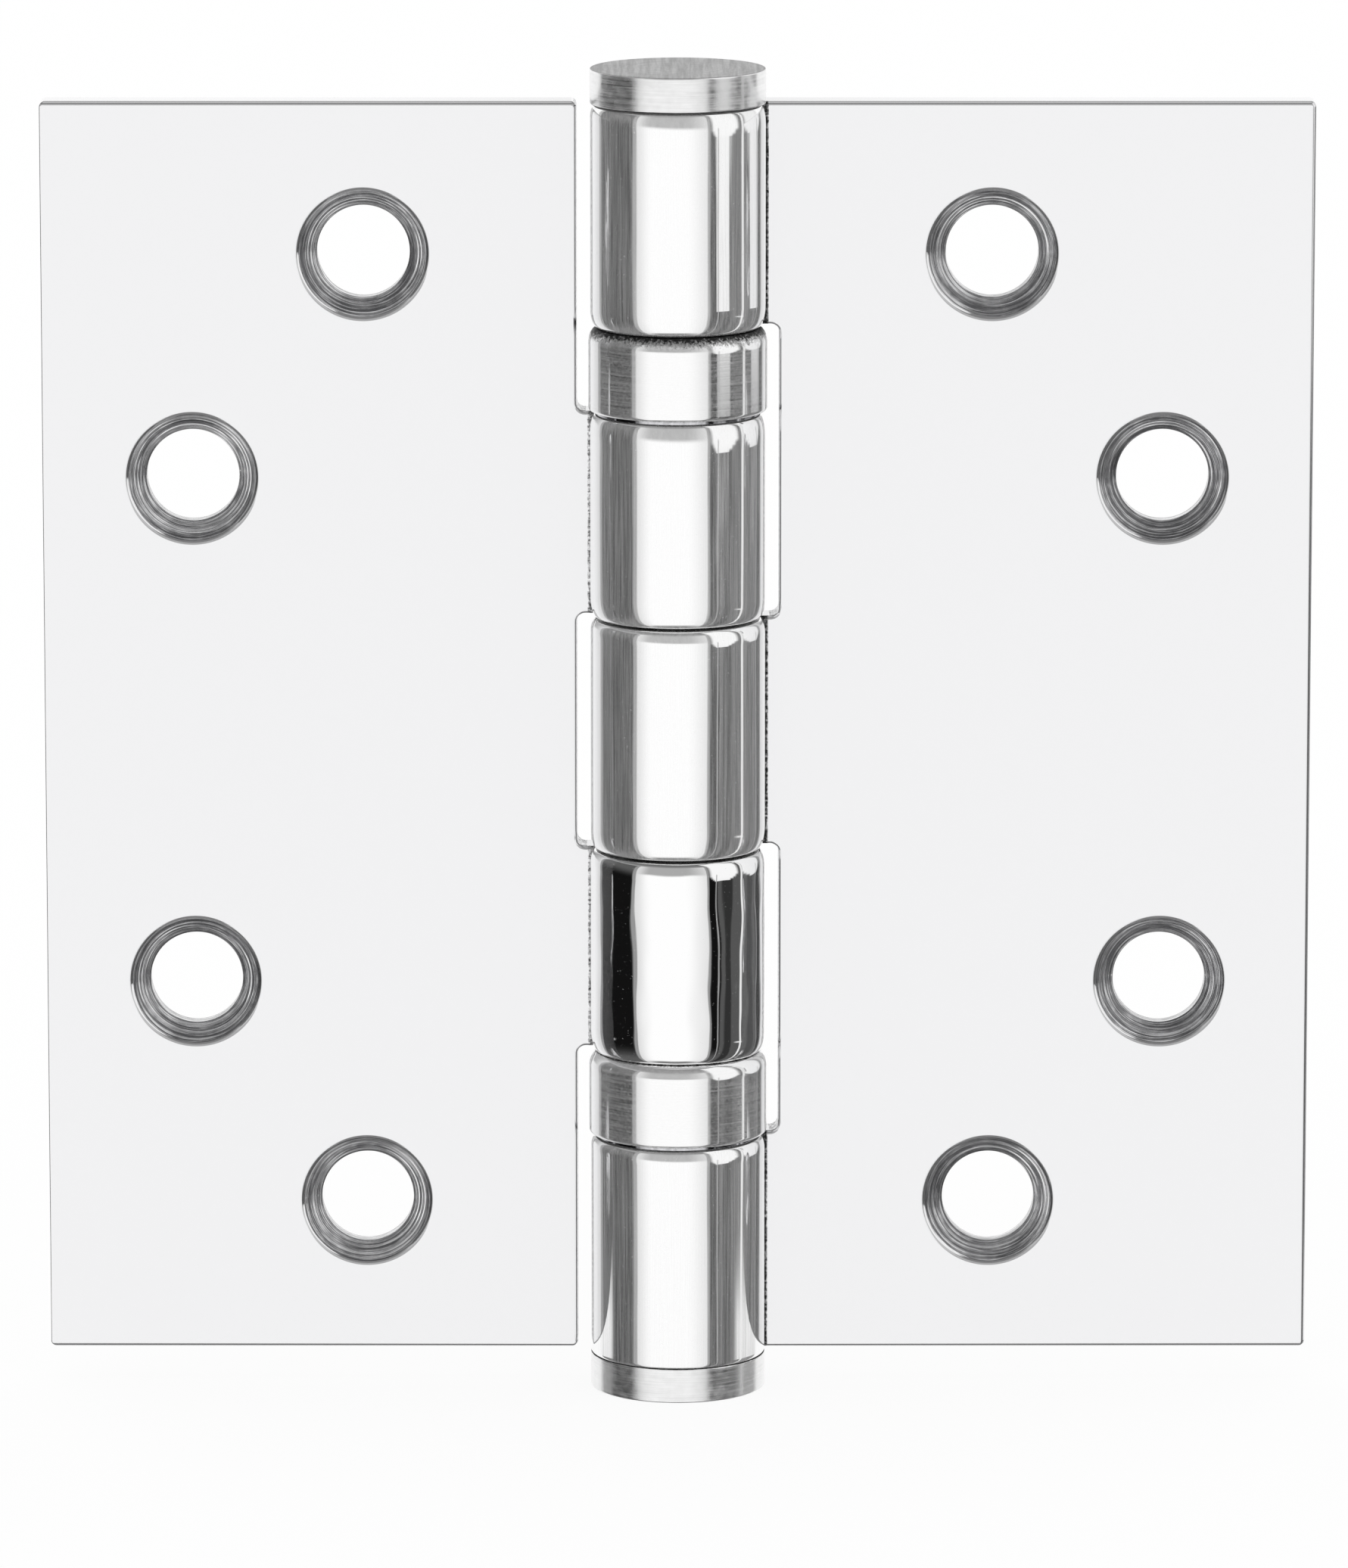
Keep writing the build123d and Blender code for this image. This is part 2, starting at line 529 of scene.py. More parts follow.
@dataclass(frozen=True)
class Knuckle:
    """One rolled knuckle between two levels of the pin."""

    low: float
    high: float
    lower: EndRound = EndRound(length=1.5)
    upper: EndRound = EndRound()
    finish: Finish = Finish.POLISHED


@dataclass
class Leaf:
    """A leaf: a flat plate with screw holes, and tabs rolled round the pin into knuckles."""

    name: str
    side: int
    knuckles: list[Knuckle]
    holes: list[ScrewHole]
    barrel: Barrel
    reach: float = 50.0
    height: float = 100.0
    front: float = 0.8
    back: float = 3.8
    cut_edge: float = 7.95
    cut_margin: float = 1.0  # past the cut-outs by this, the outer edges are worn
    bend: float = 3.0
    seam: float = 0.2
    edge_round: float = 0.3
    bottom_round: float = 0.38
    side_round: float = 0.38
    corner_round: float = 0.45
    bore_round: float = 0.1
    seam_round: float = 0.15
    slit_width: float = 0.12  # residue and painted shade beside the seam thin out over this
    # Darkening laid with the residue finish: residue and painted shade in the seam, a painted dark reflection
    # of the barrel and painted shade on the edges by the pin, painted shade along the top, bottom and outer
    # edges
    slit_grime: float = 0.5
    cut_painted_shade: float = 0.45
    rim_painted_shade: float = 0.2
    side_painted_shade: float = 0.1
    level_normal: float = 0.7  # normals that rise or fall by more belong to the top and bottom edges
    inward_normal: float = -0.3  # normals below this look towards the pin
    hold: float = 0.05
    roll_steps: int = 176
    bend_steps: int = 24
    seam_steps: int = 5
    corner_steps: int = 8
    edge_steps: tuple[int, int] = (5, 9)
    rows: EdgeRows = field(init=False)
    bend_reach: float = field(init=False)
    bend_angle: float = field(init=False)
    cut_round: float = field(init=False)

    def __post_init__(self) -> None:
        """Works out where the hollow bend touches the plate's back and the barrel."""
        self.rows = EdgeRows.make(*self.edge_steps)
        outer = self.barrel.radius + self.bend
        self.bend_reach = sqrt(outer**2 - (self.back + self.bend) ** 2)
        self.bend_angle = atan2(self.back + self.bend, self.bend_reach)
        self.cut_round = self.cut_edge - self.bend_reach - 2 * self.hold

    def rolled_lines(self) -> tuple[np.ndarray, np.ndarray, np.ndarray]:
        """Inner and outer line of the rolled tab, seen along the pin, from the seam round to the plate.

        The inner line follows the bore and then the countersunk face. The outer one follows the barrel and
        then the hollow bend.

        Returns:
            Inner points, outer points, and how far each station has passed from the barrel to the plate.
        """
        radius, bore = self.barrel.radius, self.barrel.bore
        edge = self.front - self.seam
        lip = np.linspace(0, pi / 2, self.seam_steps + 1)
        start = self.seam_round / radius
        end = self.bend_angle - 2 * pi
        main = np.linspace(0, 1, self.roll_steps + 1)[1:]

        def angles(first: float) -> np.ndarray:
            """Turn of each station from the seam to the bend, for a line that starts at that angle."""
            sweep = first - start + (end - first + start) * main
            return np.concatenate((first - start * (1 - np.cos(lip)), sweep))

        outer_radius = np.concatenate((radius - self.seam_round * (1 - np.sin(lip)), radius + 0 * main))
        outer_angle, inner_angle = angles(asin(edge / radius)), angles(asin(edge / bore))
        outer = np.column_stack((outer_radius * np.cos(outer_angle), outer_radius * np.sin(outer_angle)))
        inner = np.column_stack((bore * np.cos(inner_angle), bore * np.sin(inner_angle)))

        share = np.linspace(0, 1, self.bend_steps + 1)[1:]
        fall = self.bend_angle + pi + (pi / 2 - self.bend_angle) * share
        hollow = np.column_stack(
            (self.bend_reach + self.bend * np.cos(fall), self.back + self.bend + self.bend * np.sin(fall))
        )
        half = self.bend_steps // 2
        face_angle = asin(self.front / bore)
        arc = self.bend_angle + (face_angle - self.bend_angle) * np.linspace(0, 1, half + 1)[1:]
        foot = bore * cos(face_angle)
        left = 1 - np.linspace(0, 1, self.bend_steps - half + 1)[1:]  # squared, to crowd towards the plate
        run = self.bend_reach - (self.bend_reach - foot) * left**2
        inside = np.vstack(
            (
                np.column_stack((bore * np.cos(arc), bore * np.sin(arc))),
                np.column_stack((run, 0 * run + self.front)),
            )
        )
        passed = np.concatenate((0 * outer_angle, share * share * (3 - 2 * share)))
        return np.vstack((inner, inside)), np.vstack((outer, hollow)), passed

    def roll(self, skin: Skin, knuckle: Knuckle) -> None:
        """Adds one knuckle: a rounded rectangle carried along the rolled line.

        Args:
            skin: Where the patch goes.
            knuckle: The knuckle's levels and ends.
        """
        inner, outer, passed = self.rolled_lines()
        width = np.linalg.norm(outer - inner, axis=1)
        across = (outer - inner) / width[:, None]
        angle = np.arctan2(outer[:, 1], outer[:, 0])
        stay = 1 - passed
        halves, grime = [], []
        for level, inward, end in ((knuckle.high, -1, knuckle.upper), (knuckle.low, 1, knuckle.lower)):
            length = end.length * (1 + end.lean * np.cos(angle - radians(end.towards)))
            e, inset = self.rows.place(
                width,
                self.bore_round * stay + self.edge_round * passed,
                end.depth * stay + self.edge_round * passed,
                length * stay + self.edge_round * passed,
                self.hold,
            )
            place = inner[:, None] + across[:, None] * e[:, :, None]
            halves.append(np.concatenate((place, (level + inward * inset)[:, :, None]), axis=-1))
            # Residue and painted shade in the joint at each end of the knuckle, and along the seam where the
            # rolled tab meets the plate
            joint = np.clip(1 - end.residue_and_shade_falloff * (e - width[:, None] + end.depth) / end.depth, 0, 1)
            joint = joint * stay[:, None] * end.stain_and_shade
            slit = np.clip((self.bend_reach - inner[:, :1]) / self.slit_width, 0, 1) * (e < self.edge_round)
            grime.append(np.maximum(joint, slit * self.slit_grime))
        loop = np.concatenate((halves[0], halves[1][:, ::-1]), axis=1)
        marks = np.concatenate((grime[0], grime[1][:, ::-1]), axis=1)
        buff = np.broadcast_to(stay[:, None], marks.shape)
        skin.grid(loop, knuckle.finish, wrap=(False, True), grime=marks, buff=buff)
        # The rolled end face inside the seam is darkened all over: residue and painted shade
        skin.cap(loop[0], knuckle.finish, grime=1.0, buff=1.0)

    def outlines(self) -> list[tuple[np.ndarray, np.ndarray]]:
        """Outer and cut-out edges of the plate between the knuckles, each with its outward normals.

        The first runs clockwise round the outside, and the others run up the cut-outs.

        Returns:
            Points (x, z) and normals of each edge.
        """
        start, cut, top = self.bend_reach, self.cut_edge, self.height / 2
        spans = sorted((knuckle.low, knuckle.high) for knuckle in self.knuckles)
        outside = [(self.reach, top), (self.reach, -top)]
        radii = [self.corner_round, self.corner_round]
        last, first = spans[-1][1], spans[0][0]
        if last < top - self.hold:
            upper = [(start, last), (cut, last), (cut, top)]
            outside = [*upper, *outside, (cut, -top), (cut, first), (start, first)]
            radii = [self.cut_round, self.corner_round, *radii, self.corner_round, self.cut_round]
        else:
            outside = [(start, last), *outside, (start, first)]
        paths = [rounded_path(outside, radii, self.hold, self.corner_steps)]
        for (_, below), (above, _) in zip(spans, spans[1:]):
            bay = [(start, below), (cut, below), (cut, above), (start, above)]
            paths.append(rounded_path(bay, [self.cut_round] * 2, self.hold, self.corner_steps))
        return paths

    def front_rounds(self, points: np.ndarray, normals: np.ndarray) -> np.ndarray:
        """Rounding at the countersunk face, worn more along the bottom and the outer side.

        Past the cut-outs it blends between the edges by the squares of the normal's parts.

        Args:
            points: Points (x, z) of an outline.
            normals: Outward normals at them.

        Returns:
            The rounding at each point.
        """
        out, up = normals.T
        kept = self.edge_round * (np.maximum(up, 0) ** 2 + np.minimum(out, 0) ** 2)
        worn = self.bottom_round * np.minimum(up, 0) ** 2 + self.side_round * np.maximum(out, 0) ** 2
        return np.where(points[:, 0] > self.cut_edge + self.cut_margin, kept + worn, self.edge_round)

    def build(self, finishes: list[bpy.types.Material]) -> bpy.types.Object:
        """Builds the leaf as one closed mesh.

        Args:
            finishes: Materials in the order of Finish.

        Returns:
            The piece.
        """
        skin = Skin()
        thickness = self.back - self.front
        bounds: dict[float, list[np.ndarray]] = {self.front: [], self.back: []}
        for points, normals in self.outlines():
            rounding = self.front_rounds(points, normals)
            e, inset = self.rows.place(thickness, rounding, self.edge_round, self.edge_round, self.hold)
            flat = points[:, None] - normals[:, None] * inset[:, :, None]
            # Painted shade along the edges, more on the top and bottom than on the sides, and a painted dark
            # reflection of the barrel on the edges that face the pin
            rim = np.where(np.abs(normals[:, 1]) > self.level_normal, self.rim_painted_shade, self.side_painted_shade)
            near = (normals[:, 0] < self.inward_normal) | (points[:, 0] <= self.cut_edge)
            within = np.abs(points[:, 1]) < self.height / 2 - self.hold
            rim = np.where(near & within, self.cut_painted_shade, rim)
            side = np.clip(np.minimum(e, thickness - e) / self.edge_round, 0, 1)
            surface = np.stack((flat[..., 0], self.front + e, flat[..., 1]), axis=-1)
            skin.grid(surface, Finish.POLISHED, grime=rim[:, None] * side)
            bounds[self.front].append(flat[:, 0])
            bounds[self.back].append(flat[:, -1])
        rings: dict[float, list[np.ndarray]] = {self.front: [], self.back: []}
        for hole in self.holes:
            surface, finish = hole.surface(self.front, self.back, self.hold)
            skin.grid(surface, finish, wrap=(False, True))
            rings[self.front].append(surface[0][:, [0, 2]])
            rings[self.back].append(surface[-1][:, [0, 2]])
        for level, edges in bounds.items():
            skin.fill([np.vstack(edges)[::-1], *rings[level]], level, Finish.POLISHED)
        for knuckle in self.knuckles:
            self.roll(skin, knuckle)
        return skin.build(self.name, finishes, mirror=self.side < 0)


@dataclass(frozen=True)
class ButtonTip:
    """A turned disc that closes one end of the barrel, with its spigot in the bore."""

    name: str
    end: int
    barrel: Barrel
    spigot: float = 5.0
    spigot_clearance: float = 0.02
    edge: float = 0.12
    under_edge: float = 0.1
    hold: float = 0.05
    edge_steps: int = 5
    turn_steps: int = 192

    def build(self, finish: bpy.types.Material) -> bpy.types.Object:
        """Turns the tip's profile, from the spigot's end to the middle of the face.

        Args:
            finish: The tip's material.

        Returns:
            The piece.
        """
        radius, base, top = self.barrel.radius, self.barrel.end_top, self.barrel.tip_top
        spigot = self.barrel.bore - self.spigot_clearance
        steps = self.edge_steps
        lower = round_over((radius - self.under_edge, base), (radius, base + self.under_edge), True, steps)
        upper = round_over((radius, top - self.edge), (radius - self.edge, top), False, steps)
        profile = np.vstack(
            (
                [(0, base - self.spigot), (spigot, base - self.spigot), (spigot, base)],
                [(lower[0, 0] - self.hold, base)],
                lower,
                [(radius, lower[-1, 1] + self.hold), (radius, upper[0, 1] - self.hold)],
                upper,
                [(upper[-1, 0] - self.hold, top), (0, top)],
            )
        )
        # Residue and painted shade in the joint under the tip, where it sits on the knuckle
        grime = np.clip(1 - (profile[:, 1] - base) / self.under_edge, 0, 1)
        buff = (np.abs(top - profile[:, 1]) > self.edge / 3) * 1.0  # all but the face
        profile[:, 1] *= self.end
        surface = revolve(profile, self.turn_steps)
        skin = Skin()
        skin.grid(surface, wrap=(False, True), grime=grime[:, None], buff=buff[:, None])
        return skin.build(self.name, [finish])


@dataclass(frozen=True)
class BearingHousing:
    """The ring round a bearing: rounded shoulder, thin skirt, raceway inside."""

    name: str
    base: float
    height: float = 6.9
    radius: float = 7.05
    bore: float = 3.95
    skirt_inner: float = 6.55
    skirt_gap: float = 0.25
    ceiling: float = 4.38
    shoulder_depth: float = 0.9
    shoulder_length: float = 1.3
    lip_round: float = 0.3
    inner_round: float = 0.1
    shoulder_grime_and_shade: float = 0.3  # share of the shoulder that the residue and painted shade reach
    shoulder_stain_and_shade: float = 0.8
    hold: float = 0.05
    shoulder_steps: int = 12
    lip_steps: int = 6
    inner_steps: int = 3
    turn_steps: int = 192

    def build(self, finish: bpy.types.Material) -> bpy.types.Object:
        """Turns the ring's closed profile about the pin.

        Args:
            finish: The ring's material.

        Returns:
            The piece.
        """
        top, bottom = self.base + self.height, self.base + self.skirt_gap
        ceiling = self.base + self.ceiling
        shoulder_start = (self.radius - self.shoulder_depth, top)
        shoulder_end = (self.radius, top - self.shoulder_length)
        shoulder = round_over(shoulder_start, shoulder_end, True, self.shoulder_steps)
        lip_start, lip_end = (self.radius, bottom + self.lip_round), (self.radius - self.lip_round, bottom)
        lip = round_over(lip_start, lip_end, False, self.lip_steps)
        inner_start = (self.skirt_inner + self.inner_round, bottom)
        inner_end = (self.skirt_inner, bottom + self.inner_round)
        inner = round_over(inner_start, inner_end, True, self.inner_steps)
        profile = np.vstack(
            (
                [(self.bore, top), (shoulder[0, 0] - self.hold, top)],
                shoulder,
                [(self.radius, shoulder[-1, 1] - self.hold), (self.radius, lip[0, 1] + self.hold)],
                lip,
                inner,
                [(self.skirt_inner, ceiling), (self.bore, ceiling)],
            )
        )
        # Residue and painted shade at the top of the shoulder, in the groove under the knuckle above, and
        # under the lip and inside the skirt
        inside = self.radius - profile[:, 0]
        grimed_and_shaded = self.shoulder_length * self.shoulder_grime_and_shade
        upper = self.shoulder_stain_and_shade * np.clip(1 - (top - profile[:, 1]) / grimed_and_shaded, 0, 1)
        lower = np.clip(inside / self.lip_round, 0, 1) * (profile[:, 1] < top - self.shoulder_length)
        skin = Skin()
        grime = np.maximum(upper, lower)[:, None]
        skin.grid(revolve(profile, self.turn_steps), wrap=(True, True), grime=grime, buff=1.0)
        return skin.build(self.name, [finish])


@dataclass(frozen=True)
class Ball:
    """One true ball in place of its faceted solid."""

    node: str
    steps: int = 24

    def build(self, finish: bpy.types.Material) -> bpy.types.Object:
        """A sphere from its angle from the top and its turn, where its solid stands.

        Args:
            finish: The ball's material.

        Returns:
            The piece.
        """
        low, high = (np.array(corner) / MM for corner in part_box(self.node))
        tilt = np.linspace(0, pi, self.steps // 2 + 1)
        radius = (high[2] - low[2]) / 2
        surface = revolve(np.column_stack((radius * np.sin(tilt), radius * np.cos(tilt))), self.steps)
        skin = Skin()
        skin.grid(surface + (low + high) / 2, wrap=(False, True))
        return skin.build(f"{self.node}_round", [finish])


# Finishes


@dataclass(frozen=True)
class ResidueAndShade:
    """Polishing compound left in the joints, also used as painted shade in joints, seams and along edges, and
    as a painted dark reflection on edges that face the pin: near black and dull, with a ragged edge.
    """

    colour: str = "1b1b1b"
    roughness: float = 0.5
    metallic: float = 0.55
    grain_mm: float = 0.22
    ragged: float = 0.9  # how far the grain breaks up the edge
    limits: tuple[float, float] = (0.72, 1.15)  # mark and grain together, where it starts and where it covers

    def lay(self, tree: bpy.types.NodeTree, place: bpy.types.NodeSocket, **clean: Any) -> None:
        """Lays the residue and the painted shade over a steel where its mark is high.

        Args:
            tree: The material's nodes.
            place: Object coordinates.
            clean: The steel's own colour, roughness and metallic, each a value or a socket.
        """
        mark = add_node(tree, "ShaderNodeAttribute", attribute_name="grime").outputs["Fac"]
        grain = add_node(
            tree,
            "ShaderNodeTexNoise",
            {"Vector": place, "Scale": 1 / (self.grain_mm * MM), "Detail": 4.0, "Roughness": 0.65},
        )
        ragged = add_node(
            tree,
            "ShaderNodeMath",
            {0: grain.outputs["Fac"], 1: self.ragged, 2: mark},
            operation="MULTIPLY_ADD",
        )
        mask = add_node(
            tree,
            "ShaderNodeMapRange",
            {"Value": ragged.outputs[0], "From Min": self.limits[0], "From Max": self.limits[1]},
            interpolation_type="SMOOTHSTEP",
        ).outputs[0]
        shader = tree.nodes["Principled BSDF"]
        colour_ports, number_ports = (6, 7, 2), (2, 3, 0)  # both inputs and the output of a Mix node
        for name, kind, ports, own, soiled in (
            ("Base Color", "RGBA", colour_ports, clean["colour"], linear(self.colour)),
            ("Roughness", "FLOAT", number_ports, clean["roughness"], self.roughness),
            ("Metallic", "FLOAT", number_ports, clean["metallic"], self.metallic),
        ):
            mix = add_node(
                tree, "ShaderNodeMix", {0: mask, ports[0]: own, ports[1]: soiled}, data_type=kind
            )
            tree.links.new(mix.outputs[ports[2]], shader.inputs[name])


@dataclass(frozen=True)
class PolishedSteel:
    """Stainless steel buffed to a mirror.

    Drag lines along the pin hold a faint haze, and fine pits sparkle in the dark reflections. The barrel,
    where the buff mark is high, takes a brighter colour, a painted brighter reflection, and is slightly wavy,
    and the plates stay even.
    """

    name: str = "polished_stainless"
    colour: str = "f2f2f3"
    # The barrel's brighter colour is a painted brighter reflection
    painted_bright_colour: str = "fefefe"
    haze: tuple[float, float] = (0.1, 0.24)
    flat_haze: float = 0.08
    roughness: tuple[float, float] = (0.03, 0.09)
    line_mm: tuple[float, float, float] = (0.13, 0.13, 7.0)  # wider than a buff's own lines, to show
    line_depth_mm: float = 0.0004
    rough_limits: tuple[float, float] = (0.3, 0.75)  # of the drag lines' noise
    haze_limits: tuple[float, float] = (0.32, 0.7)
    pit_mm: float = 0.16
    pit_limits: tuple[float, float] = (0.68, 0.76)
    pit_metallic: float = 0.75
    wave_mm: float = 11.0
    wave_depth_mm: float = 0.15
    wave_stretch: float = 2.5  # along the pin

    def build(self) -> bpy.types.Material:
        """Makes the material.

        Returns:
            The material, with the residue laid over it.
        """
        material, tree, place = new_material(self.name)
        buff = add_node(tree, "ShaderNodeAttribute", attribute_name="buff").outputs["Fac"]
        scale = [1 / (size * MM) for size in self.line_mm]
        lines = add_node(tree, "ShaderNodeMapping", {"Vector": place, "Scale": scale}).outputs[0]
        drag = add_node(
            tree, "ShaderNodeTexNoise", {"Vector": lines, "Scale": 1.0, "Detail": 4.0}
        ).outputs["Fac"]
        pit = add_node(
            tree, "ShaderNodeTexNoise", {"Vector": place, "Scale": 1 / (self.pit_mm * MM), "Detail": 2.0}
        ).outputs["Fac"]
        swells = [1 / (self.wave_mm * size * MM) for size in (1, 1, self.wave_stretch)]
        waves = add_node(tree, "ShaderNodeMapping", {"Vector": place, "Scale": swells}).outputs[0]
        wave = add_node(
            tree, "ShaderNodeTexNoise", {"Vector": waves, "Scale": 1.0, "Detail": 1.0}
        ).outputs["Fac"]
        colour = add_node(
            tree,
            "ShaderNodeMix",
            {0: buff, 6: linear(self.colour), 7: linear(self.painted_bright_colour)},
            data_type="RGBA",
        )
        spans = []
        for value, limits, low, high in (
            (drag, self.rough_limits, *self.roughness),
            (drag, self.haze_limits, 1 - self.haze[0], 1 - self.haze[1]),
            (pit, self.pit_limits, 1.0, self.pit_metallic),
        ):
            span = add_node(
                tree,
                "ShaderNodeMapRange",
                {"Value": value, "From Min": limits[0], "From Max": limits[1], "To Min": low, "To Max": high},
            )
            spans.append(span.outputs[0])
        rough, haze, pits = spans
        pitted = add_node(tree, "ShaderNodeMath", {0: haze, 1: pits}, operation="MULTIPLY").outputs[0]
        metallic = add_node(
            tree, "ShaderNodeMix", {0: buff, 2: 1 - self.flat_haze, 3: pitted}, data_type="FLOAT"
        ).outputs[0]
        ResidueAndShade().lay(tree, place, colour=colour.outputs[2], roughness=rough, metallic=metallic)
        swell = add_node(
            tree, "ShaderNodeBump", {"Height": wave, "Distance": self.wave_depth_mm * MM, "Strength": buff}
        ).outputs[0]
        bump = add_node(
            tree,
            "ShaderNodeBump",
            {"Height": drag, "Distance": self.line_depth_mm * MM, "Strength": buff, "Normal": swell},
        )
        tree.links.new(bump.outputs[0], tree.nodes["Principled BSDF"].inputs["Normal"])
        return material


@dataclass(frozen=True)
class TurnedSteel:
    """Metal turned on a lathe: fine rings about the pin, seen as bands of dull and bright.

    A face, where the buff mark is low, was ground across instead and shows straight strokes.
    """

    name: str
    colour: str
    roughness: tuple[float, float]
    haze: tuple[float, float] = (0.0, 0.0)
    face: str | None = None
    face_roughness: float | None = None
    ring_mm: float = 0.14  # wider than a lathe's finest feed, to show
    ring_depth_mm: float = 0.0006
    ring_turn_mm: float = 6.0  # length of a mark round the pin
    ring_limits: tuple[float, float] = (0.55, 0.98)
    speck_mm: float = 0.25
    speck: float = 0.5  # share of the specks in the bands
    tint: float = 0.9
    grind_mm: tuple[float, float, float] = (0.3, 7.0, 7.0)
    grind_limits: tuple[float, float] = (0.35, 0.65)
    grind: float = 0.72

    def build(self) -> bpy.types.Material:
        """Makes the material: noise read by distance from the pin, by turn about it and by height along it.

        Returns:
            The material, with the residue and the painted shade laid over it.
        """
        material, tree, place = new_material(self.name)
        axes = add_node(tree, "ShaderNodeSeparateXYZ", {0: place})
        flat = add_node(tree, "ShaderNodeCombineXYZ", {0: axes.outputs[0], 1: axes.outputs[1]})
        radius = add_node(tree, "ShaderNodeVectorMath", {0: flat.outputs[0]}, operation="LENGTH")
        outward = add_node(tree, "ShaderNodeCombineXYZ", {2: radius.outputs["Value"]}).outputs[0]
        stretch = self.ring_mm / self.ring_turn_mm
        squeeze = add_node(
            tree, "ShaderNodeVectorMath", {0: place, 1: (stretch, stretch, 1.0)}, operation="MULTIPLY"
        ).outputs[0]
        rings = add_node(tree, "ShaderNodeVectorMath", {0: squeeze, 1: outward}, operation="ADD").outputs[0]
        ring = add_node(
            tree,
            "ShaderNodeTexNoise",
            {"Vector": rings, "Scale": 1 / (self.ring_mm * MM), "Detail": 4.0, "Roughness": 0.65},
        ).outputs["Fac"]
        speck = add_node(
            tree, "ShaderNodeTexNoise", {"Vector": place, "Scale": 1 / (self.speck_mm * MM), "Detail": 3.0}
        ).outputs["Fac"]
        bands = add_node(
            tree, "ShaderNodeMath", {0: speck, 1: self.speck, 2: ring}, operation="MULTIPLY_ADD"
        ).outputs[0]
        grinding = [1 / (size * MM) for size in self.grind_mm]
        strokes = add_node(tree, "ShaderNodeMapping", {"Vector": place, "Scale": grinding}).outputs[0]
        stroke = add_node(
            tree, "ShaderNodeTexNoise", {"Vector": strokes, "Scale": 1.0, "Detail": 3.0}
        ).outputs["Fac"]
        spans = []
        for value, limits, low, high in (
            (bands, self.ring_limits, *self.roughness),
            (bands, self.ring_limits, 1 - self.haze[0], 1 - self.haze[1]),
            (bands, self.ring_limits, self.tint, 1.0),
            (stroke, self.grind_limits, self.grind, 1.0),
        ):
            span = add_node(
                tree,
                "ShaderNodeMapRange",
                {"Value": value, "From Min": limits[0], "From Max": limits[1], "To Min": low, "To Max": high},
            )
            spans.append(span.outputs[0])
        turned, metallic, tint, shade = spans
        buff = add_node(tree, "ShaderNodeAttribute", attribute_name="buff").outputs["Fac"]
        ground = add_node(
            tree,
            "ShaderNodeMix",
            {0: 1.0, 6: linear(self.face or self.colour), 7: shade},
            data_type="RGBA",
            blend_type="MULTIPLY",
        ).outputs[2]
        plain = add_node(
            tree, "ShaderNodeMix", {0: buff, 6: ground, 7: linear(self.colour)}, data_type="RGBA"
        ).outputs[2]
        colour = add_node(
            tree, "ShaderNodeMix", {0: 1.0, 6: plain, 7: tint}, data_type="RGBA", blend_type="MULTIPLY"
        ).outputs[2]
        dull = turned if self.face_roughness is None else self.face_roughness
        rough = add_node(tree, "ShaderNodeMix", {0: buff, 2: dull, 3: turned}, data_type="FLOAT").outputs[0]
        ResidueAndShade().lay(tree, place, colour=colour, roughness=rough, metallic=metallic)
        depth = self.ring_depth_mm * MM
        bump = add_node(tree, "ShaderNodeBump", {"Height": ring, "Distance": depth, "Strength": 1.0})
        tree.links.new(bump.outputs[0], tree.nodes["Principled BSDF"].inputs["Normal"])
        return material


@dataclass(frozen=True)
class CutSteel:
    """Steel as a countersink cutter leaves it: bright and dull rings, faintly mottled."""

    name: str = "cutter_marked_steel"
    colours: tuple[str, str] = ("767678", "fafafb")
    roughness: tuple[float, float] = (0.08, 0.26)
    metallic: float = 0.9
    band_mm: float = 0.17
    stretch: float = 60.0
    mottle_mm: float = 0.7
    mottle: float = 0.12  # share of the mottling in the rings
    limits: tuple[float, float] = (0.48, 0.66)

    def build(self) -> bpy.types.Material:
        """Makes the material: rings by depth below the countersunk face, broken by mottling.

        Returns:
            The material.
        """
        material, tree, place = new_material(self.name)
        shader = tree.nodes["Principled BSDF"]
        shader.inputs["Metallic"].default_value = self.metallic
        squeeze = add_node(
            tree, "ShaderNodeMapping", {"Vector": place, "Scale": (1 / self.stretch, 1.0, 1 / self.stretch)}
        ).outputs[0]
        band = add_node(
            tree,
            "ShaderNodeTexNoise",
            {"Vector": squeeze, "Scale": 1 / (self.band_mm * MM), "Detail": 4.0, "Roughness": 0.75},
        ).outputs["Fac"]
        mottle = add_node(
            tree, "ShaderNodeTexNoise", {"Vector": place, "Scale": 1 / (self.mottle_mm * MM), "Detail": 4.0}
        ).outputs["Fac"]
        both = add_node(
            tree, "ShaderNodeMath", {0: mottle, 1: self.mottle, 2: band}, operation="MULTIPLY_ADD"
        ).outputs[0]
        low, high = self.limits
        level = add_node(
            tree, "ShaderNodeMapRange", {"Value": both, "From Min": low, "From Max": high}
        ).outputs[0]
        colour = add_node(
            tree,
            "ShaderNodeMix",
            {0: level, 6: linear(self.colours[0]), 7: linear(self.colours[1])},
            data_type="RGBA",
        )
        bright, dull = self.roughness
        rough = add_node(tree, "ShaderNodeMapRange", {"Value": level, "To Min": dull, "To Max": bright})
        tree.links.new(colour.outputs[2], shader.inputs["Base Color"])
        tree.links.new(rough.outputs[0], shader.inputs["Roughness"])
        return material


# Studio


@dataclass(frozen=True)
class Panel:
    """A lit or dark panel of the studio, by its directions from the hinge in degrees.

    Azimuth is 0 towards the viewer and grows to the viewer's right; elevation is above the horizon.
    """

    azimuth: tuple[float, float]
    elevation: tuple[float, float]
    level: float
    soft: float = 1.2
    fade: float = 1.5

    def edges(self) -> tuple[tuple[tuple[float, float], float], ...]:
        """Limits and softness of the panel, across and then up."""
        return (self.azimuth, self.soft), (self.elevation, self.fade)


